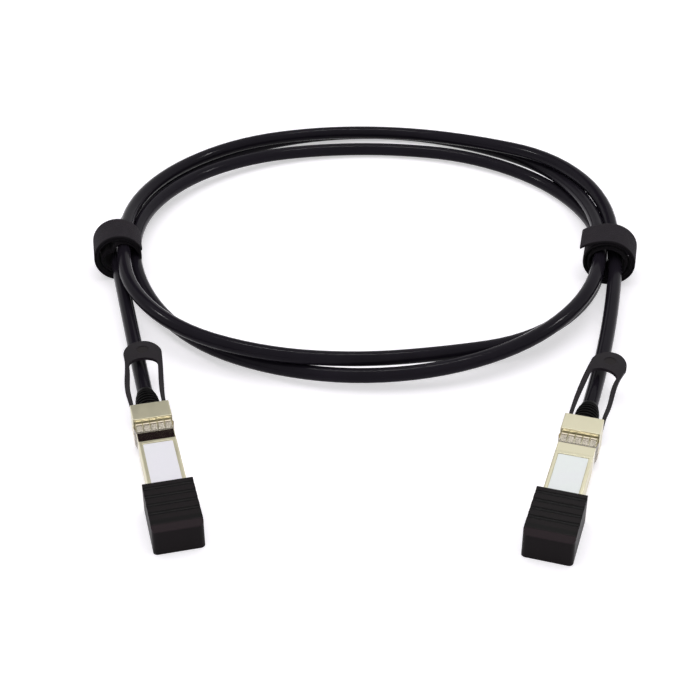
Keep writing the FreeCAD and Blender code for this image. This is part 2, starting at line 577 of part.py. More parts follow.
def tab_plan(side, arm_x, tip_y, outline, length):
    """Plan of the tab or of its opening: straight arms in the head, curved arms behind it and a rounded end."""
    right, left = tab_points(side, outline, 1), tab_points(side, outline, -1)
    half, y = outline[-1]
    end = [right[-1]] + tab_points(side, round_end(half, y, length), 1) + [left[-1]]
    rear_right, rear_left = V(arm_x, HEAD_L, 0), V(-arm_x, HEAD_L, 0)
    front_right, front_left = V(arm_x, tip_y, 0), V(-arm_x, tip_y, 0)
    edges = [Part.makeLine(front_right, rear_right), curve_through([rear_right] + right), curve_through(end),
             curve_through(left[::-1] + [rear_left]), Part.makeLine(rear_left, front_left),
             Part.makeLine(front_left, front_right)]
    return Part.Face(Part.Wire(edges)).extrude(V(0, 0, 2 * HEAD_TOP))


def tab_side_view():
    """The tab from the side: level in the head, then climbing over the boot and the cable."""
    mid = [(HEAD_L + y, z) for y, z in TAB_CLIMB]
    low = [V(0, y, z - TAB_T / 2) for y, z in mid]
    high = [V(0, y, z + TAB_T / 2) for y, z in mid]
    front_low, front_high = V(0, ARM_TIP_Y, ARM_Z[0]), V(0, ARM_TIP_Y, ARM_Z[1])
    edges = [Part.makeLine(front_low, low[0]), curve_through(low), Part.makeLine(low[-1], high[-1]),
             curve_through(high[::-1]), Part.makeLine(high[0], front_high), Part.makeLine(front_high, front_low)]
    side_view = Part.Face(Part.Wire(edges)).extrude(V(4 * HEAD_W, 0, 0))
    side_view.translate(V(-2 * HEAD_W, 0, 0))
    return side_view


def tab_tip(side):
    return HEAD_L + TAB_REACH[side]


def pull_tab(side):
    tip = tab_tip(side)
    arms, half = TAB_ARMS[side], TAB_W[side] / 2
    outer = [(w, HEAD_L + y) for y, w, arm in arms] + [(half, tip - TAB_ROUND)]
    inner = [(w - arm, HEAD_L + y) for y, w, arm in arms]
    inner += [(half - arms[-1][2], tip - TAB_GRIP - TAB_OPENING_ROUND)]
    body = tab_plan(side, ARM_X[1], ARM_TIP_Y, outer, TAB_ROUND)
    opening = tab_plan(side, ARM_X[0], ARM_TIP_Y - 1, inner, TAB_OPENING_ROUND)
    tab = tab_side_view().common(body.cut(opening))
    peg = box(ARM_X[0], ARM_X[1] - PEG_SIDE_GAP, ARM_TIP_Y, ARM_TIP_Y + PEG_L, PEG_Z, ARM_Z[0] + 0.1)
    return fused([tab] + both_sides(peg)).cut(grip_dish(side))


def grip_dish(side):
    """Flat-bottomed oval recess in the finger end."""
    y = tab_tip(side) - TAB_GRIP / 2
    (y0, z0), (y1, z1) = TAB_CLIMB[-2:]
    slope = math.atan2(z1 - z0, y1 - y0)
    z = z1 - (HEAD_L + y1 - y) * math.tan(slope) + TAB_T / 2
    stretch = FreeCAD.Matrix()
    stretch.scale(V(GRIP_DISH_W / 2, GRIP_DISH_L / 2, 1))
    dish = Part.makeCylinder(1.0, TAB_T, V(0, 0, -GRIP_DISH_DEPTH)).transformGeometry(stretch)
    dish.rotate(V(0, 0, 0), V(1, 0, 0), math.degrees(slope))
    dish.translate(V(tab_bend(side, y), y, z))
    return dish


# --- dust cap ---------------------------------------------------------------------------------------------
def dust_cap(side):
    y1 = -BODY_L + CAP_GRIP[side]
    y0 = y1 - CAP_L
    cap = box(-CAP_W / 2, CAP_W / 2, y0, y1, 0, CAP_H)
    upright = [e for e in cap.Edges if abs(e.Length - CAP_H) < 1e-6 and abs(e.CenterOfMass.y - y0) < 1e-6]
    cap = cap.makeFillet(CAP_CORNER, upright)
    half = CAP_W / 2 + 1
    steep = CAP_SLOPE_DROP / CAP_SLOPE_RUN
    cap = cap.cut(prism([(-half, y0 - 1, CAP_H + 1), (-half, y0 - 1, CAP_H - CAP_SLOPE_DROP - steep),
                         (-half, y0 + CAP_SLOPE_RUN, CAP_H), (-half, y0 + CAP_SLOPE_RUN, CAP_H + 1)],
                        (2 * half, 0, 0)))
    lift = CAP_GROOVE_R - CAP_GROOVE_DEPTH
    for i in range(CAP_GROOVES):
        y = y1 - CAP_GROOVE_FIRST - i * CAP_GROOVE_PITCH
        cap = cap.cut(Part.makeCylinder(CAP_GROOVE_R, CAP_W + 2, V(-half, y, CAP_H + lift), V(1, 0, 0)))
    clear = CAP_CLEAR
    cavity = slab(BODY_W + 2 * clear, BODY_Z - clear, BODY_TOP + clear, y1 - CAP_CAVITY_L, y1 + 1,
                  BODY_CORNER, BODY_CORNER)
    return cap.cut(cavity)


# --- where things lie -------------------------------------------------------------------------------------
def placed(shape, side):
    """Carries a piece from the plug's own frame to its place on the surface."""
    x, y = PLUG_AT[side]
    shape = shape.copy()
    shape.rotate(V(0, 0, 0), V(0, 0, 1), PLUG_TURN[side])
    shape.translate(V(x, y, 0))
    return shape


def on_plug_axis(side, y):
    x0, y0 = PLUG_AT[side]
    turn = math.radians(PLUG_TURN[side])
    return V(x0 - math.sin(turn) * y, y0 + math.cos(turn) * y, CABLE_Z)


def outwards(degrees):
    """Unit vector from the hoop's centre at an angle round it."""
    a = math.radians(degrees)
    return V(math.cos(a), math.sin(a), 0)


def on_hoop(degrees, radius, z):
    return V(HOOP_X, HOOP_Y, z) + outwards(degrees) * radius


def hoop_section(section):
    """Outline of the bundle at one angle: an ellipse standing across the hoop's line."""
    degrees, radius, z, half_w, half_h, tilt = section
    t = math.radians(tilt)
    outward, upward = outwards(degrees), V(0, 0, 1)
    wide = (outward * math.cos(t) + upward * math.sin(t)) * half_w
    high = (outward * -math.sin(t) + upward * math.cos(t)) * half_h
    circle = Part.makeCircle(1.0, V(0, 0, 0), V(0, 0, 1))
    centre = on_hoop(degrees, radius, z)
    along = outwards(degrees + 90)
    stretch = FreeCAD.Matrix(wide.x, high.x, along.x, centre.x, wide.y, high.y, along.y, centre.y,
                             wide.z, high.z, along.z, centre.z, 0, 0, 0, 1)
    return Part.Wire(circle.transformGeometry(stretch).Edges)


def cable_coil():
    """Outer shape of the turns: three strands round the back, two round the front."""
    back = Part.makeLoft([hoop_section(s) for s in BACK_SECTIONS], True, False)
    front = Part.makeLoft([hoop_section(s) for s in FRONT_SECTIONS], True, False)
    return back.fuse(front)


def lead_route(side):
    """Points from the cable's end in the plug to the middle of its strap."""
    inside = [on_plug_axis(side, CABLE_END_Y), on_plug_axis(side, LEAD_AXIS_Y)]
    return inside + [V(*p) for p in LEAD_POINTS[side]] + [on_hoop(STRAP_AT[side], *LEAD_SLOT[side])]


def bent_path(points, name):
    """Straight runs joined by arcs as large as the runs allow.  Prints each arc's radius."""
    edges, start = [], points[0]
    for before, corner, after in zip(points, points[1:], points[2:]):
        u, w = (before - corner).normalize(), (after - corner).normalize()
        half_turn = (math.pi - u.getAngle(w)) / 2
        reach = 0.45 * min((before - corner).Length, (after - corner).Length)
        radius = reach / math.tan(half_turn)
        a, b = corner + u * reach, corner + w * reach
        middle = corner + (u + w).normalize() * (radius / math.cos(half_turn) - radius)
        edges += [Part.LineSegment(start, a).toShape(), Part.Arc(a, middle, b).toShape()]
        start = b
        print("%s arc radius %.0f mm" % (name, radius))
    edges.append(Part.LineSegment(start, points[-1]).toShape())
    return Part.Wire(edges)


def cable_lead(side):
    """Plain cable from the plug to the middle of the strap, where it goes over into the turns."""
    points = lead_route(side)
    last = points[-1] - points[-2]
    points[-1] = points[-1] + last.normalize() * LEAD_RUN_ON
    path = bent_path(points, "lead_" + side)
    first = (points[1] - points[0]).normalize()
    section = Part.Wire(Part.makeCircle(CABLE_R, points[0], first))
    tube = path.makePipeShell([section], True, False)
    ratio = tube.Volume / (path.Length * math.pi * CABLE_R ** 2)
    print("lead_%s length %.1f mm, volume over section times length %.4f" % (side, path.Length, ratio))
    return tube.cut(beyond_strap(side))


def beyond_strap(side):
    """The space behind the strap's middle plane."""
    block = Part.makeBox(4 * STRAP_W, STRAP_W, 4 * STRAP_W, V(-2 * STRAP_W, 0, -2 * STRAP_W))
    degrees = STRAP_AT[side]
    block.rotate(V(0, 0, 0), V(0, 0, 1), degrees if side == "right" else degrees - 180)
    block.translate(on_hoop(degrees, STRAP_FROM_CENTRE[side], 0))
    return block


# --- straps -----------------------------------------------------------------------------------------------
def arc_band(r0, r1, from_deg, to_deg):
    """A ring sector in the x-z plane as a face."""
    def at(r, degrees):
        a = math.radians(degrees)
        return V(r * math.cos(a), 0, r * math.sin(a))
    middle = (from_deg + to_deg) / 2
    edges = [Part.Arc(at(r1, from_deg), at(r1, middle), at(r1, to_deg)).toShape(),
             Part.makeLine(at(r1, to_deg), at(r0, to_deg)),
             Part.Arc(at(r0, to_deg), at(r0, middle), at(r0, from_deg)).toShape(),
             Part.makeLine(at(r0, from_deg), at(r1, from_deg))]
    return Part.Face(Part.Wire(edges))


def loose_end(side):
    """The strap's end, standing straight off the second layer."""
    r, a = STRAP_R + STRAP_T, math.radians(STRAP_LAP[side][1])
    start = V(r * math.cos(a), 0, r * math.sin(a))
    outward = V(math.cos(a), 0, math.sin(a))
    along = V(-math.sin(a), 0, math.cos(a))
    back = along * -0.5
    corners = [start + back, start + along * FLAP_L[side], start + along * FLAP_L[side] + outward * STRAP_T,
               start + back + outward * STRAP_T]
    return Part.Face(Part.makePolygon(corners + corners[:1]))


def strap(side):
    """Hook-and-loop tape wound round the bundle.  The second layer passes beneath, on the surface."""
    inner = Part.Face(Part.Wire(Part.makeCircle(STRAP_R + STRAP_T, V(0, 0, 0), V(0, 1, 0))))
    inner = inner.cut(Part.Face(Part.Wire(Part.makeCircle(STRAP_R, V(0, 0, 0), V(0, 1, 0)))))
    lap = arc_band(STRAP_R + STRAP_T, STRAP_R + 2 * STRAP_T, *STRAP_LAP[side])
    solids = [face.extrude(V(0, STRAP_W, 0)) for face in (inner, lap)]
    if FLAP_L[side] > 0:
        solids.append(loose_end(side).extrude(V(0, STRAP_W, 0)))
    tape = fused(solids)
    tape.translate(V(0, -STRAP_W / 2, 0))
    if side == "left":
        tape = tape.mirror(V(0, 0, 0), V(1, 0, 0))
    degrees = STRAP_AT[side]
    tape.rotate(V(0, 0, 0), V(0, 0, 1), degrees if side == "right" else degrees - 180)
    tape.translate(on_hoop(degrees, STRAP_FROM_CENTRE[side], STRAP_R + 2 * STRAP_T))
    return tape


# --- the whole part ---------------------------------------------------------------------------------------
def plug(side):
    return {"lower_shell": lower_shell(), "upper_shell": upper_shell(), "emi_collar": emi_collar(),
            "label": label(), "shell_screws": Part.makeCompound(shell_screw_solids(SCREW_SOCKET_DEPTH)),
            "paddle_card": paddle_card(), "contact_pads": contact_pads(), "memory_chip": memory_chip(),
            "wire_pairs": wire_pairs(), "inner_mould": inner_mould(), "crimp_ferrule": crimp_ferrule(),
            "strain_relief": strain_relief(), "latch_lever": latch_lever(), "latch_pin": latch_pin(),
            "latch_spring": latch_spring(), "pull_tab": pull_tab(side), "dust_cap": dust_cap(side)}


def main():
    os.makedirs("parts", exist_ok=True)
    nodes = {}
    for side in ("left", "right"):
        for name, shape in plug(side).items():
            nodes["%s_%s" % (name, side)] = placed(shape, side)
    nodes["cable_coil"] = cable_coil()
    for side in ("left", "right"):
        nodes["cable_lead_" + side] = cable_lead(side)
        nodes["strap_" + side] = strap(side)
    for name, shape in nodes.items():
        shape.exportStep("parts/%s.step" % name)


main()
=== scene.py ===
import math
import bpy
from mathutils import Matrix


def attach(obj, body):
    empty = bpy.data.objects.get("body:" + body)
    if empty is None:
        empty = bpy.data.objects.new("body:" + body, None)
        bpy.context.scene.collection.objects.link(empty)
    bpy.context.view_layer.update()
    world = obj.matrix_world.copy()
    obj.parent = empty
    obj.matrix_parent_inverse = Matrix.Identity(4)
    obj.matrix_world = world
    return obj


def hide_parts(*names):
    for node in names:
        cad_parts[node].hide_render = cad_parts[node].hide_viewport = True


bl_info = {
    "name": "Direct attach copper cable",
    "version": (1, 0, 0),
    "blender": (4, 5, 0),
    "location": "3D View > Sidebar > Cable",
    "description": "Dresses a coiled twinax cable with two pluggable metal plugs",
    "category": "Add Mesh",
}

import bmesh
import bpy
from bpy.props import FloatProperty, FloatVectorProperty, PointerProperty
from mathutils import Matrix, Vector

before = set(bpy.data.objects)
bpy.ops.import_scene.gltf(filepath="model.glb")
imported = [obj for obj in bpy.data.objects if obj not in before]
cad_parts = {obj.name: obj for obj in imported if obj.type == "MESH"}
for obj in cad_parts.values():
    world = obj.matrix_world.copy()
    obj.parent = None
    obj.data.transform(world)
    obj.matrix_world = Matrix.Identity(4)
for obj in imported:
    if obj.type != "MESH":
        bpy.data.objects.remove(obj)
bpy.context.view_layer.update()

SIDES = ("left", "right")
MM = 0.001

# Placements, as the part's source has them, in millimetres and degrees.
PLUG_AT = {"left": (-79.8, 10.7), "right": (73.2, 2.7)}
PLUG_TURN = {"left": 14.0, "right": -17.2}
HOOP_AT = (-4.7, 148.9)
STRAP_AT = {"left": 189.8, "right": -11.6}
COLLAR_SEAT_L, BAND_L = 5.9, 5.1        # along the body from its head: under the collar, then polished
COLLAR_BEND = (-2.4, -1.85)             # where the fingers bend up to their crests, a span painted dark as shade
CAP_H, CAP_L, CAP_SLOPE = 11.4, 23.8, 2.2
CAP_MOUTH = {"left": -36.5, "right": -34.3}
CAP_GROOVE_FIRST, CAP_GROOVE_PITCH = 2.7, 4.4
GRIP_DISH_AT = {"left": (1.9, 40.6), "right": (3.7, 42.4)}
GRIP_DISH = (4.6, 3.6)

# The cable's route: along each lead, then where it lies in the straps and five passes round the hoop.
LEAD_LEFT = [(-80.6, 13.8, 6.0), (-87.5, 41.7, 6.0), (-94.4, 70.6, 7.2), (-101.2, 99.1, 8.4)]
LEAD_RIGHT = [(98.0, 93.1, 8.6), (91.0, 63.1, 7.1), (82.7, 33.3, 6.0), (74.1, 5.8, 6.0)]
IN_LEFT_STRAP = {"lead": (105.4, 9.1), "low": (99.3, 9.1), "high": (102.3, 14.3)}
IN_RIGHT_STRAP = {"lead": (111.1, 10.2), "low": (106.5, 6.4), "high": (105.5, 12.4)}
# (distance from the hoop's centre, height of the cable's axis) at equal steps between the straps
PASSES = [
    ("back", IN_LEFT_STRAP["lead"],
     [(107.5, 3.0), (107.5, 3.0), (109.5, 3.0), (112.0, 3.0), (106.5, 10.0)], IN_RIGHT_STRAP["high"]),
    ("front", IN_RIGHT_STRAP["high"],
     [(110.0, 10.5), (107.5, 7.0), (103.5, 4.5), (101.5, 3.5)], IN_LEFT_STRAP["low"]),
    ("back", IN_LEFT_STRAP["low"],
     [(97.5, 7.0), (93.0, 5.0), (90.5, 3.0), (97.5, 4.0), (107.0, 3.0)], IN_RIGHT_STRAP["low"]),
    ("front", IN_RIGHT_STRAP["low"],
     [(106.0, 5.0), (98.5, 9.0), (103.0, 10.5), (110.5, 13.0)], IN_LEFT_STRAP["high"]),
    ("back", IN_LEFT_STRAP["high"],
     [(104.0, 10.0), (104.0, 8.0), (102.5, 6.5), (102.5, 10.0), (111.0, 15.5)], IN_RIGHT_STRAP["lead"]),
]
BACK_STEPS, FRONT_STEPS = 9, 8          # points in a pass behind and in front of the straps
CABLE_CLEAR = 0.05                      # air under the jacket where it lies on the surface

# How each tape is wound: (degrees from outwards, layers away from the first full turn), from its inner end,
# which lies against the cable, to its outer one.
WINDING = {
    "left": [(-88, -2.9), (0, -2.1), (30, -3.4), (56, -5.4), (78, -3.6), (97, -2.2), (122, -1.3), (150, -0.9),
             (200, 0), (560, 0), (595, 1), (885, 1)],
    "right": [(-85, -2.4), (0, -2.2), (60, -2.5), (105, -2.3), (180, -1.9), (215, -1.8), (255, -1.3),
              (310, 0), (580, 0), (625, 1), (820, 1)],
}
FLAP_L = {"left": 0.0, "right": 10.5}   # loose end that stands off
FLAP_DROOP = 2.2                        # degrees that it bends down between two of its points
STRAP_SPREAD = {"left": 1.0, "right": 1.1}      # how much wider than high a strap lies
TAPE_STEP = 4.0                         # degrees between two points along a tape
TAPE_WALL = 0.94                        # share of a layer that its tape fills, the rest being air
STRAP_FROM_CENTRE = {"left": 104.2, "right": 107.9}

# The stage, in metres, degrees and watts.
STAGE_MIDDLE = (0.0, 0.12, 0.0)
FLOOR_SIZE, FLOOR_GLOW = (6.0, 6.0), 0.50
SKY_ON_SURFACES = 0.55                  # level at which the world lights things; it is seen at 1
SOFT_LAMP = ((0.0, 0.20, 1.0), (1.10, 0.90), 4.6)       # place, size and power
GLEAMS = {                              # seen only as highlights
    "strip": ((0.0, 0.26, 1.0), (0.60, 0.045), 4.4),
    "left": ((-0.85, 0.30, 0.75), (0.08, 0.08), 2.2),
    "right": ((0.85, 0.30, 0.75), (0.08, 0.08), 2.2),
}
FLAG_AT, FLAG_SIZE = (-0.60, 1.5, 1.15), (1.10, 0.80)
CAMERA_AT, CAMERA_PITCH, CAMERA_LENS = (-0.0087, -0.42364, 0.33955), 55.5, 77.66


# --- sizes and colours that a user may change -------------------------------------------------------------
def length(name, description, millimetres):
    return FloatProperty(name=name, description=description, default=millimetres * MM, unit="LENGTH", min=0.0)


def colour(name, description, *rgb):
    return FloatVectorProperty(name=name, description=description, default=rgb, size=3, subtype="COLOR",
                               min=0.0, max=1.0)


def share(name, description, value):
    return FloatProperty(name=name, description=description, default=value, min=0.0, max=1.0,
                         subtype="FACTOR")


class CableSizes(bpy.types.PropertyGroup):
    diameter: length("Cable diameter", "Outer diameter of the jacket", 5.9)
    strap_width: length("Strap width", "Width of the hook-and-loop tape", 16.0)
    strap_radius: length("Strap radius", "Inside radius of a strap", 8.6)
    strap_thickness: length("Strap thickness", "Thickness of one layer of tape", 0.95)


class CableColours(bpy.types.PropertyGroup):
    jacket: colour("Jacket", "Extruded sleeve of the cable", 0.0105, 0.0088, 0.0130)
    jacket_gloss: share("Jacket roughness", "Roughness of the jacket", 0.15)
    tape: colour("Tape", "Pile of the straps", 0.021, 0.0175, 0.022)
    nickel: colour("Nickel", "Plated die-cast shells", 0.72, 0.68, 0.50)
    collar: colour("Collar", "Sprung collar of the plug", 0.79, 0.71, 0.57)
    tab: colour("Pull tab", "Flexible moulded tab", 0.0105, 0.0074, 0.0106)
    cap: colour("Dust cap", "Soft moulded cap", 0.0043, 0.0025, 0.0032)
    boot: colour("Boot", "Ribbed sleeve behind the head", 0.0022, 0.0018, 0.0020)
    label: colour("Label", "Plain film on the shells", 0.92, 0.89, 0.97)
    label_tint: colour("Label tint", "What the film's sheen drifts towards", 0.90, 0.95, 0.93)
    floor: colour("Surface", "Surface that the cable lies on", 0.80, 0.77, 0.83)


# --- materials --------------------------------------------------------------------------------------------
class Socket:
    """A number in a node tree. Arithmetic on it adds Math nodes."""

    def __init__(self, finish, socket):
        self.finish, self.socket = finish, socket

    def maths(self, operation, first, second=None):
        values = {0: first} if second is None else {0: first, 1: second}
        return self.finish.add("ShaderNodeMath", {"operation": operation}, values)[0]

    def __add__(self, other):
        return self.maths("ADD", self, other)

    __radd__ = __add__

    def __mul__(self, other):
        return self.maths("MULTIPLY", self, other)

    __rmul__ = __mul__

    def __sub__(self, other):
        return self.maths("SUBTRACT", self, other)

    def __rsub__(self, other):
        return self.maths("SUBTRACT", other, self)

    def __truediv__(self, other):
        return self.maths("DIVIDE", self, other)

    def maximum(self, other):
        return self.maths("MAXIMUM", self, other)

    def minimum(self, other):
        return self.maths("MINIMUM", self, other)

    def inside(self, low, high, soft):
        """1 between two bounds, falling to 0 over a soft edge."""
        rise, fall = (self - low) / soft, (high - self) / soft
        return rise.minimum(fall).maximum(0.0).minimum(1.0)

    def size(self):
        return self.maths("ABSOLUTE", self)


class Finish:
    """A procedural material. Constants go straight to the shader's own sockets."""

    def __init__(self, name, **constants):
        self.material = bpy.data.materials.new(name)
        self.material.use_nodes = True
        self.tree = self.material.node_tree
        self.shader = self.tree.nodes["Principled BSDF"]
        for socket, value in constants.items():
            value = (*value, 1.0) if hasattr(value, "__len__") and len(value) == 3 else value
            self.shader.inputs[socket.replace("_", " ")].default_value = value

    def add(self, kind, settings=None, values=None):
        """One node: its settings first, then the values or links of its sockets. Returns its outputs."""
        node = self.tree.nodes.new(kind)
        for name, value in (settings or {}).items():
            if name == "stops":
                self.set_stops(node, value)
            else:
                setattr(node, name, value)
        for key, value in (values or {}).items():
            if isinstance(value, Socket):
                self.tree.links.new(value.socket, node.inputs[key])
            else:
                node.inputs[key].default_value = value
        return Outputs(self, node)

    @staticmethod
    def set_stops(node, stops):
        ramp = node.color_ramp.elements
        while len(ramp) < len(stops):
            ramp.new(1.0)
        for element, (place, value) in zip(ramp, stops):
            element.position = place
            element.color = (value, value, value, 1.0)

    def link(self, **sockets):
        for name, value in sockets.items():
            self.tree.links.new(value.socket, self.shader.inputs[name.replace("_", " ")])

    def place(self):
        return self.add("ShaderNodeTexCoord")["Object"]

    def on_plug(self, side, scale=(1.0, 1.0, 1.0)):
        """Object coordinates carried into a plug's own frame, where y = 0 is the front of its head."""
        turn = math.radians(PLUG_TURN[side])
        back = Matrix.Rotation(-turn, 3, "Z") @ Vector((*PLUG_AT[side], 0.0)) * MM
        local = self.add("ShaderNodeMapping", None,
                         {"Vector": self.place(), "Rotation": (0.0, 0.0, -turn), "Location": -back})["Vector"]
        return self.add("ShaderNodeMapping", None, {"Vector": local, "Scale": scale})["Vector"]

    def split(self, at):
        return self.add("ShaderNodeSeparateXYZ", None, {"Vector": at})

    def noise(self, at, scale, detail=2.0, roughness=0.5):
        return self.add("ShaderNodeTexNoise", None,
                        {"Vector": at, "Scale": scale, "Detail": detail, "Roughness": roughness})["Fac"]

    def ramp(self, value, *stops):
        return self.add("ShaderNodeValToRGB", {"stops": stops}, {"Fac": value})["Color"]

    def blend(self, factor, first, second):
        """Between two colours."""
        mixed = self.add("ShaderNodeMix", {"data_type": "RGBA"})
        for index, value in ((0, factor), (6, first), (7, second)):
            socket = mixed.node.inputs[index]
            if isinstance(value, Socket):
                self.tree.links.new(value.socket, socket)
            else:
                socket.default_value = (*value, 1.0) if index else value
        return Socket(self, mixed.node.outputs[2])

    def bump(self, height, depth_mm, edge_mm=0.0):
        """Raises the surface by a height pattern, and rounds its edges where a radius is given."""
        values = {"Height": height, "Distance": depth_mm * MM, "Strength": 1.0}
        if edge_mm:
            values["Normal"] = self.add("ShaderNodeBevel", {"samples": 6}, {"Radius": edge_mm * MM})["Normal"]
        self.link(Normal=self.add("ShaderNodeBump", None, values)["Normal"])


class Outputs:
    """A node's outputs, by name or place."""

    def __init__(self, finish, node):
        self.finish, self.node = finish, node

    def __getitem__(self, key):
        return Socket(self.finish, self.node.outputs[key])


def shaded(colour, factor):
    return tuple(min(1.0, c * factor) for c in colour)


def paint(node, finish):
    """Gives a CAD node its finish."""
    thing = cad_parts[node]
    if not thing.material_slots:
        thing.data.materials.append(None)
    for slot in thing.material_slots:
        slot.material = finish.material


def nickel(colours, side):
    """Nickel plate over a satin die casting: faint orange peel, marks drawn along the plug, and a polished
    band between the collar and the label."""
    finish = Finish("nickel_" + side, Metallic=1.0)
    at = finish.on_plug(side)
    along = finish.split(at)["Y"]
    band = along.inside(-(COLLAR_SEAT_L + BAND_L) * MM, -COLLAR_SEAT_L * MM, 0.1 * MM)
    cloud = finish.noise(at, 90.0, 3.0)
    marks = finish.noise(finish.on_plug(side, (1.0, 0.06, 1.0)), 2600.0)
    grain = finish.noise(at, 5200.0)
    satin = finish.blend(cloud, shaded(colours.nickel, 0.82), shaded(colours.nickel, 0.92))
    finish.link(
        Base_Color=finish.blend(band, satin, colours.nickel),
        Roughness=(0.26 + 0.10 * cloud + 0.08 * marks) * (1.0 - 0.72 * band))
    finish.bump((grain * 0.6 + marks * 0.4) * (1.0 - band), 0.006, edge_mm=0.25)
    return finish


def sprung_gold(colours, side):
    """Thin strip plated a pale gold: pitted panels, shade painted dark brown in the bends, and polished
    crests.
    """
    finish = Finish("collar_metal_" + side, Metallic=1.0)
    at = finish.on_plug(side)
    along = finish.split(at)["Y"]
    cloud = finish.noise(at, 260.0, 3.0)
    grain = finish.noise(at, 1900.0, 2.0, 0.7)
    low, high = COLLAR_BEND
    panel = along.inside(-(COLLAR_SEAT_L + 1.0) * MM, low * MM, 0.2 * MM)
    bend_shade = along.inside(low * MM, high * MM, 0.12 * MM)
    pits = finish.ramp(grain, (0.35, 1.0), (0.62, 0.0))
    gold = finish.blend(cloud, shaded(colours.collar, 0.9), colours.collar)
    dull = finish.blend(pits, (0.32, 0.295, 0.25), (0.17, 0.15, 0.12))
    tarnished = finish.blend(panel, gold, dull)
    # painted shade: the bends between the panels and the crests are coloured dark brown
    finish.link(Base_Color=finish.blend(bend_shade, tarnished, (0.11, 0.085, 0.06)),
                Roughness=0.16 + 0.10 * grain + 0.14 * panel)
    finish.bump(grain * panel, 0.05, edge_mm=0.08)
    return finish


def plain_metal(name, rgb, rough):
    """A metal with a faint cloudiness and a fine grain."""
    finish = Finish(name, Metallic=1.0)
    at = finish.place()
    cloud = finish.noise(at, 400.0, 3.0)
    finish.link(Base_Color=finish.blend(cloud, shaded(rgb, 0.8), rgb), Roughness=rough + 0.12 * cloud)
    finish.bump(finish.noise(at, 6000.0), 0.005, edge_mm=0.05)
    return finish


def moulded(name, rgb, rough, grain_scale, grain_mm, edge_mm=0.2, **constants):
    """Plastic or rubber with the grain of its mould and a cloudy tone that varies at random."""
    finish = Finish(name, **constants)
    at = finish.place()
    cloud = finish.noise(at, 120.0, 4.0, 0.6)
    grain = finish.noise(at, grain_scale, 3.0, 0.55)
    finish.link(Base_Color=finish.blend(cloud, shaded(rgb, 0.75), shaded(rgb, 1.35)),
                Roughness=rough - 0.06 + 0.12 * grain)
    finish.bump(grain, grain_mm, edge_mm=edge_mm)
    return finish


def tab_plastic(colours, side):
    """Soft satin plastic; the grain is deeper in the thumb recess, whose colour is painted darker as shade.
    """
    finish = Finish("tab_plastic_" + side, Specular_IOR_Level=0.12)
    at = finish.on_plug(side)
    split = finish.split(at)
    (x, y), (width, reach) = GRIP_DISH_AT[side], GRIP_DISH
    out, along = (split["X"] - x * MM) / (width / 2 * MM), (split["Y"] - y * MM) / (reach / 2 * MM)
    dish = ((1.0 - out * out - along * along) * 8.0).maximum(0.0).minimum(1.0)
    cloud = finish.noise(at, 120.0, 4.0, 0.6)
    grain = finish.noise(at, 1800.0, 3.0, 0.55)
    plain = finish.blend(cloud, shaded(colours.tab, 0.7), shaded(colours.tab, 1.3))
    # painted shade: the thumb recess is coloured darker
    finish.link(Base_Color=finish.blend(dish, plain, (0.009, 0.006, 0.007)), Roughness=0.46 + 0.10 * grain)
    finish.bump(grain * (1.0 + dish), 0.03, edge_mm=0.2)
    return finish


def cap_rubber(colours, side):
    """Soft black rubber: shade painted dark in the grip grooves, and light painted paler along its sloping
    front edge.
    """
    finish = Finish("cap_rubber_" + side, Specular_IOR_Level=0.10)
    at = finish.on_plug(side)
    split = finish.split(at)
    from_mouth = CAP_MOUTH[side] * MM - split["Y"]
    on_top = split["Z"].inside((CAP_H - 0.6) * MM, (CAP_H + 1.0) * MM, 0.2 * MM)
    half_pitch = CAP_GROOVE_PITCH / 2 * MM
    from_groove = from_mouth.maths("PINGPONG", from_mouth - CAP_GROOVE_FIRST * MM, half_pitch)
    # painted shade: the grip grooves on top are darkened
    groove_shade = finish.ramp(from_groove * (1.0 / half_pitch), (0.30, 1.0), (0.62, 0.0)) * on_top
    # painted light: the sloping front edge is made paler
    slope_light = from_mouth.inside((CAP_L - CAP_SLOPE) * MM, (CAP_L + 1.0) * MM, 0.3 * MM)
    slope_light = slope_light * split["Z"].inside((CAP_H - 2.0) * MM, (CAP_H + 1.0) * MM, 0.3 * MM)
    cloud = finish.noise(at, 120.0, 4.0, 0.6)
    grain = finish.noise(at, 1200.0, 3.0, 0.55)
    plain = finish.blend(cloud, shaded(colours.cap, 0.75), shaded(colours.cap, 1.35))
    groove_shaded = finish.blend(groove_shade, plain, shaded(colours.cap, 0.15))
    finish.link(Base_Color=finish.blend(slope_light, groove_shaded, (0.024, 0.0165, 0.0195)),
                Roughness=0.42 + 0.10 * grain)
    finish.bump(grain, 0.03, edge_mm=0.35)
    return finish


def film(colours, side):
    """Plain label film with a sheen painted into its colour, drifting between lilac and pale green."""
    finish = Finish("label_film_" + side, Specular_IOR_Level=0.3)
    at = finish.place()
    mottle = finish.noise(at, 700.0, 3.0)
    drift = finish.ramp(finish.noise(at, 45.0), (0.35, 0.0), (0.65, 1.0))
    # painted sheen: the left label's leans lilac and the right one's pale green
    first, last = {"left": (0.0, 0.4), "right": (0.5, 1.0)}[side]
    sheen_tint = finish.blend(first + (last - first) * drift, tuple(colours.label), tuple(colours.label_tint))
    finish.link(Base_Color=finish.blend(mottle * 0.3, sheen_tint, shaded(colours.label, 0.9)),
                Roughness=0.34 + 0.10 * mottle)
    finish.bump(finish.noise(at, 3000.0), 0.004, edge_mm=0.1)
    return finish


def jacket(colours):
    """Glossy extruded sleeve with a faint cloudy tone, a fine skin and soft waves."""
    finish = Finish("jacket", Specular_IOR_Level=0.05)
    at = finish.place()
    cloud = finish.noise(at, 60.0, 3.0)
    skin = finish.noise(at, 1500.0, 2.0)
    finish.link(Base_Color=finish.blend(cloud, shaded(colours.jacket, 0.8), shaded(colours.jacket, 1.4)),
                Roughness=colours.jacket_gloss - 0.04 + 0.08 * cloud)
    finish.bump(skin * 0.5 + finish.noise(at, 260.0) * 0.5, 0.02)
    return finish


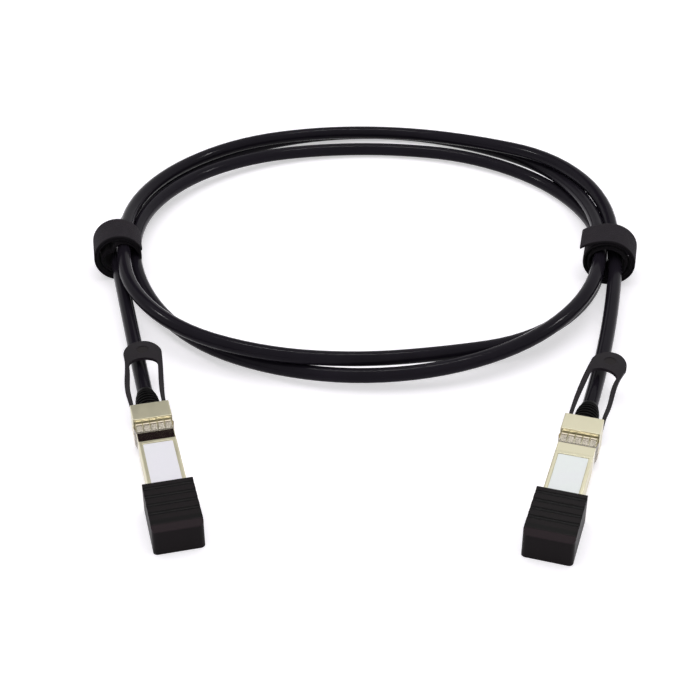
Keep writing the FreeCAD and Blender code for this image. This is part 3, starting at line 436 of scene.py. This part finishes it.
def pile(colours):
    """Short looped pile: matted tufts, with a tight woven border."""
    finish = Finish("tape_pile", Sheen_Weight=0.04, Sheen_Roughness=0.5, Specular_IOR_Level=0.05)
    uv = finish.add("ShaderNodeUVMap", {"uv_map": "tape"})["UV"]
    border = finish.ramp((finish.split(uv)["X"] - 0.5).size(), (0.0, 0.0), (0.44, 0.0), (0.475, 1.0))
    at = finish.place()
    tufts = finish.noise(at, 1500.0, 5.0, 0.7)
    cloud = finish.noise(at, 180.0, 3.0)
    matted = finish.blend(tufts * 0.6 + cloud * 0.4, shaded(colours.tape, 0.45), shaded(colours.tape, 1.6))
    finish.link(Base_Color=finish.blend(border, matted, shaded(colours.tape, 0.4)),
                Roughness=0.82 + 0.12 * tufts)
    finish.bump(tufts * (1.0 - 0.6 * border), 0.30)
    return finish


def board(name, rgb):
    """Solder mask over a woven laminate."""
    finish = Finish(name, Specular_IOR_Level=0.5)
    at = finish.place()
    weave = finish.noise(at, 2500.0, 2.0)
    finish.link(Base_Color=finish.blend(weave, shaded(rgb, 0.8), shaded(rgb, 1.2)),
                Roughness=0.30 + 0.10 * weave)
    finish.bump(weave, 0.01)
    return finish


# --- shapes -----------------------------------------------------------------------------------------------
def new_object(name, data):
    thing = bpy.data.objects.new(name, data)
    bpy.context.scene.collection.objects.link(thing)
    return thing


def flat_card(name, matrix):
    """A square of 1 m, placed in its mesh by a matrix."""
    bm = bmesh.new()
    bmesh.ops.create_grid(bm, x_segments=1, y_segments=1, size=0.5)
    bmesh.ops.transform(bm, matrix=matrix, verts=bm.verts)
    mesh = bpy.data.meshes.new(name)
    bm.to_mesh(mesh)
    bm.free()
    return new_object(name, mesh)


def through(keys, share_along):
    """A smooth value through equally spaced keys, at a share of the way along them."""
    ends = [2 * keys[0] - keys[1], *keys, 2 * keys[-1] - keys[-2]]
    steps = len(keys) - 1
    i = min(int(share_along * steps), steps - 1)
    f = share_along * steps - i
    a, b, c, d = ends[i:i + 4]
    return b + 0.5 * f * (c - a + f * (2 * a - 5 * b + 4 * c - d + f * (3 * b - a - 3 * c + d)))


def on_hoop(degrees, radius, height):
    """A point round the hoop's centre, in millimetres. 0 degrees is to the right."""
    angle = math.radians(degrees)
    return (HOOP_AT[0] + radius * math.cos(angle), HOOP_AT[1] + radius * math.sin(angle), height)


def hoop_pass(where, start, keys, end, lowest):
    """Points of one pass round the hoop, from strap to strap, without its first."""
    steps = BACK_STEPS if where == "back" else FRONT_STEPS
    if where == "back":
        from_deg, to_deg = STRAP_AT["left"], STRAP_AT["right"]
    else:
        from_deg, to_deg = STRAP_AT["right"], STRAP_AT["left"] - 360.0
    radii, heights = zip(start, *keys, end)
    points = []
    for i in range(1, steps + 1):
        along = i / steps
        degrees = from_deg + (to_deg - from_deg) * along
        points.append(on_hoop(degrees, through(radii, along), max(lowest, through(heights, along))))
    return points


def cable_points(lowest):
    """The cable's axis from the left boot to the right one, nowhere under a lowest height."""
    points = LEAD_LEFT + [on_hoop(STRAP_AT["left"], *IN_LEFT_STRAP["lead"])]
    for where, start, keys, end in PASSES:
        points += hoop_pass(where, start, keys, end, lowest)
    return points + LEAD_RIGHT


def layers_at(side, degrees):
    """How many layers outside the first full turn a tape lies at this angle."""
    for (from_deg, first), (to_deg, last) in zip(WINDING[side], WINDING[side][1:]):
        if degrees <= to_deg:
            f = (degrees - from_deg) / (to_deg - from_deg)
            return first + (last - first) * f * f * (3 - 2 * f)
    return WINDING[side][-1][1]


def tape_line(side, sizes):
    """Middle line of a strap in its own plane, (outwards, up) from the bundle's centre."""
    first_turn = sizes.strap_radius + sizes.strap_thickness / 2
    line, degrees = [], WINDING[side][0][0]
    while degrees <= WINDING[side][-1][0]:
        radius = first_turn + layers_at(side, degrees) * sizes.strap_thickness
        angle = math.radians(degrees)
        line.append(Vector((radius * math.cos(angle), radius * math.sin(angle))))
        degrees += TAPE_STEP
    along = line[-1] - line[-2]
    for _ in range(round(FLAP_L[side] * MM / along.length)):
        along = Matrix.Rotation(math.radians(FLAP_DROOP), 2) @ along
        line.append(line[-1] + along)
    return [Vector((out * STRAP_SPREAD[side], up)) for out, up in line]


def strap_mesh(side, line, sizes):
    """A tape that follows its line, with a UV map of it laid flat. The left one is wound the other way."""
    columns, rows = 16, len(line) - 1
    bm = bmesh.new()
    bmesh.ops.create_grid(bm, x_segments=columns, y_segments=rows, size=0.5)
    layer = bm.loops.layers.uv.new("tape")
    for face in bm.faces:
        for loop in face.loops:
            loop[layer].uv = (loop.vert.co.x + 0.5, loop.vert.co.y + 0.5)
    for vert in bm.verts:
        across = vert.co.x
        out, up = line[round((vert.co.y + 0.5) * rows)]
        vert.co = Vector((out, across * sizes.strap_width, up))
    if side == "left":
        bmesh.ops.scale(bm, vec=(-1, 1, 1), verts=bm.verts)
    degrees = STRAP_AT[side] - (180.0 if side == "left" else 0.0)
    x, y, _ = on_hoop(STRAP_AT[side], STRAP_FROM_CENTRE[side], 0)
    lift = sizes.strap_radius + 2 * sizes.strap_thickness
    bmesh.ops.transform(bm, matrix=Matrix.Translation((x * MM, y * MM, lift))
                        @ Matrix.Rotation(math.radians(degrees), 4, "Z"), verts=bm.verts)
    bmesh.ops.recalc_face_normals(bm, faces=bm.faces)
    mesh = bpy.data.meshes.new("strap_%s_tape" % side)
    bm.to_mesh(mesh)
    bm.free()
    return mesh


# --- operators --------------------------------------------------------------------------------------------
class CABLE_OT_cord(bpy.types.Operator):
    """Lay the cable along both leads and round the hoop as one smooth cord"""
    bl_idname = "cable.cord"
    bl_label = "Cable"

    def execute(self, context):
        sizes, colours = context.scene.cable_sizes, context.scene.cable_colours
        radius = sizes.diameter / 2
        points = cable_points(radius / MM + CABLE_CLEAR)
        data = bpy.data.curves.new("twinax_cable", "CURVE")
        data.dimensions = "3D"
        data.bevel_depth = radius
        data.bevel_resolution = 6
        data.resolution_u = 6
        data.use_fill_caps = True
        spline = data.splines.new("NURBS")
        spline.points.add(len(points) - 1)
        for point, (x, y, z) in zip(spline.points, points):
            point.co = (x * MM, y * MM, z * MM, 1.0)
        spline.order_u = 3
        spline.use_endpoint_u = True
        cord = new_object("twinax_cable", data)
        data.materials.append(jacket(colours).material)
        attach(cord, "cable")
        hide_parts("cable_coil", "cable_lead_left", "cable_lead_right")
        [c * MM for c in points[0]]
        return {"FINISHED"}


class CABLE_OT_straps(bpy.types.Operator):
    """Wind a hook-and-loop strap round the bundle on each side"""
    bl_idname = "cable.straps"
    bl_label = "Straps"

    def execute(self, context):
        sizes, colours = context.scene.cable_sizes, context.scene.cable_colours
        finish = pile(colours)
        for side in SIDES:
            line = tape_line(side, sizes)
            strap = new_object("strap_tape_" + side, strap_mesh(side, line, sizes))
            strap.data.materials.append(finish.material)
            wall = strap.modifiers.new("thickness", "SOLIDIFY")
            wall.thickness = sizes.strap_thickness * TAPE_WALL
            wall.offset = 0.0
            smooth = strap.modifiers.new("smooth", "SUBSURF")
            smooth.levels = smooth.render_levels = 1
            for face in strap.data.polygons:
                face.use_smooth = True
            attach(strap, "cable")
            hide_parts("strap_" + side)
        return {"FINISHED"}


class CABLE_OT_metal(bpy.types.Operator):
    """Plate the shells, collars, latches, screws and ferrules"""
    bl_idname = "cable.metal"
    bl_label = "Metal parts"

    def execute(self, context):
        colours = context.scene.cable_colours
        steel = plain_metal("latch_steel", (0.66, 0.65, 0.62), 0.25)
        screw = plain_metal("screw_steel", (0.48, 0.47, 0.45), 0.30)
        brass = plain_metal("ferrule_brass", (0.80, 0.66, 0.40), 0.28)
        gold = plain_metal("contact_gold", (0.95, 0.72, 0.32), 0.15)
        foil = plain_metal("pair_foil", (0.85, 0.85, 0.86), 0.22)
        for side in SIDES:
            shell = nickel(colours, side)
            for name in ("lower_shell_", "upper_shell_"):
                paint(name + side, shell)
            paint("emi_collar_" + side, sprung_gold(colours, side))
            for name, finish in (("latch_lever_", steel), ("latch_pin_", steel), ("latch_spring_", steel),
                                 ("shell_screws_", screw), ("crimp_ferrule_", brass), ("contact_pads_", gold),
                                 ("wire_pairs_", foil)):
                paint(name + side, finish)
        return {"FINISHED"}


class CABLE_OT_plastics(bpy.types.Operator):
    """Finish the pull tabs, dust caps, boots, labels and the parts inside the shells"""
    bl_idname = "cable.plastics"
    bl_label = "Plastic and rubber parts"

    def execute(self, context):
        colours = context.scene.cable_colours
        finishes = {
            "strain_relief_": moulded("boot_rubber", colours.boot, 0.40, 1500.0, 0.02,
                                      Specular_IOR_Level=0.06),
            "inner_mould_": moulded("mould_compound", (0.06, 0.06, 0.06), 0.5, 1500.0, 0.03),
            "memory_chip_": moulded("chip_epoxy", (0.02, 0.02, 0.022), 0.4, 3000.0, 0.01, edge_mm=0.05),
            "paddle_card_": board("card_mask", (0.03, 0.20, 0.08)),
        }
        for side in SIDES:
            for name, finish in finishes.items():
                paint(name + side, finish)
            paint("pull_tab_" + side, tab_plastic(colours, side))
            paint("dust_cap_" + side, cap_rubber(colours, side))
            paint("label_" + side, film(colours, side))
        return {"FINISHED"}


class CABLE_OT_stage(bpy.types.Operator):
    """Set the surface, the lamps and the camera"""
    bl_idname = "cable.stage"
    bl_label = "Stage"

    def execute(self, context):
        scene = context.scene
        scene.view_settings.view_transform = "Standard"
        self.surface(scene.cable_colours)
        self.sky(scene)
        self.lamp("overhead", *SOFT_LAMP).visible_glossy = False
        for name, (at, size, watts) in GLEAMS.items():
            self.lamp(name, at, size, watts).visible_diffuse = False
        self.flag()
        self.camera(scene)
        return {"FINISHED"}

    @staticmethod
    def surface(colours):
        """A white surface. It glows a little where it is seen, so that only close shadows show on it."""
        floor = flat_card("surface", Matrix.Diagonal((*FLOOR_SIZE, 1.0, 1.0)))
        finish = Finish("surface_white", Roughness=0.6, Specular_IOR_Level=0.1,
                        Base_Color=tuple(colours.floor))
        seen = finish.add("ShaderNodeLightPath")
        direct = seen["Is Camera Ray"].maximum(seen["Is Glossy Ray"]).maximum(seen["Is Transmission Ray"])
        glow = finish.add("ShaderNodeEmission", None,
                          {"Color": (1.0, 1.0, 1.0, 1.0), "Strength": direct * FLOOR_GLOW})
        both = finish.add("ShaderNodeAddShader", None,
                          {0: Socket(finish, finish.shader.outputs[0]), 1: glow["Emission"]})
        output = finish.tree.nodes["Material Output"]
        finish.tree.links.new(both[0].socket, output.inputs["Surface"])
        floor.data.materials.append(finish.material)

    @staticmethod
    def flag():
        """A dark card behind the left plug, which only its polished metal sees."""
        card = flat_card("flag", Matrix.Translation(FLAG_AT) @ Matrix.Rotation(math.radians(90), 4, "X")
                         @ Matrix.Diagonal((*FLAG_SIZE, 1.0, 1.0)))
        card.visible_camera = card.visible_diffuse = card.visible_shadow = False
        finish = Finish("flag_cloth", Base_Color=(0.030, 0.018, 0.026), Specular_IOR_Level=0.0)
        finish.link(Roughness=0.9 + 0.1 * finish.noise(finish.place(), 40.0))
        card.data.materials.append(finish.material)

    @staticmethod
    def sky(scene):
        """A white world that lights dull surfaces less than it shows in polished ones."""
        world = bpy.data.worlds.new("studio")
        scene.world = world
        world.use_nodes = True
        tree = world.node_tree
        path = tree.nodes.new("ShaderNodeLightPath")
        level = tree.nodes.new("ShaderNodeMapRange")
        level.inputs["To Min"].default_value = 1.0
        level.inputs["To Max"].default_value = SKY_ON_SURFACES
        tree.links.new(path.outputs["Is Diffuse Ray"], level.inputs["Value"])
        back = tree.nodes["Background"]
        back.inputs["Color"].default_value = (1.0, 1.0, 1.0, 1.0)
        tree.links.new(level.outputs["Result"], back.inputs["Strength"])

    @staticmethod
    def lamp(name, at, size, watts):
        """A soft rectangle that faces the middle of the stage."""
        data = bpy.data.lights.new(name, "AREA")
        data.shape = "RECTANGLE"
        data.size, data.size_y = size
        data.energy = watts
        lamp = new_object(name, data)
        lamp.location = at
        lamp.rotation_euler = (Vector(STAGE_MIDDLE) - Vector(at)).to_track_quat("-Z", "Y").to_euler()
        return lamp

    @staticmethod
    def camera(scene):
        data = bpy.data.cameras.new("camera")
        data.sensor_width = 36.0
        data.lens = CAMERA_LENS
        data.clip_start = 0.01
        camera = new_object("camera", data)
        camera.location = CAMERA_AT
        camera.rotation_euler = (math.radians(CAMERA_PITCH), 0.0, 0.0)
        scene.camera = camera


OPERATORS = (CABLE_OT_stage, CABLE_OT_cord, CABLE_OT_straps, CABLE_OT_metal, CABLE_OT_plastics)


class CABLE_PT_parts(bpy.types.Panel):
    bl_label = "Cable"
    bl_idname = "CABLE_PT_parts"
    bl_space_type = "VIEW_3D"
    bl_region_type = "UI"
    bl_category = "Cable"

    def draw(self, context):
        for operator in OPERATORS:
            self.layout.operator(operator.bl_idname)
        for group in (context.scene.cable_sizes, context.scene.cable_colours):
            column = self.layout.column()
            for name in group.__annotations__:
                column.prop(group, name)


CLASSES = (CableSizes, CableColours) + OPERATORS + (CABLE_PT_parts,)


def register():
    for cls in CLASSES:
        bpy.utils.register_class(cls)
    bpy.types.Scene.cable_sizes = PointerProperty(type=CableSizes)
    bpy.types.Scene.cable_colours = PointerProperty(type=CableColours)


def unregister():
    del bpy.types.Scene.cable_colours
    del bpy.types.Scene.cable_sizes
    for cls in reversed(CLASSES):
        bpy.utils.unregister_class(cls)


def main():
    register()
    bpy.ops.cable.stage()
    bpy.ops.cable.cord()
    bpy.ops.cable.straps()
    bpy.ops.cable.metal()
    bpy.ops.cable.plastics()


if __name__ == "__main__":
    main()
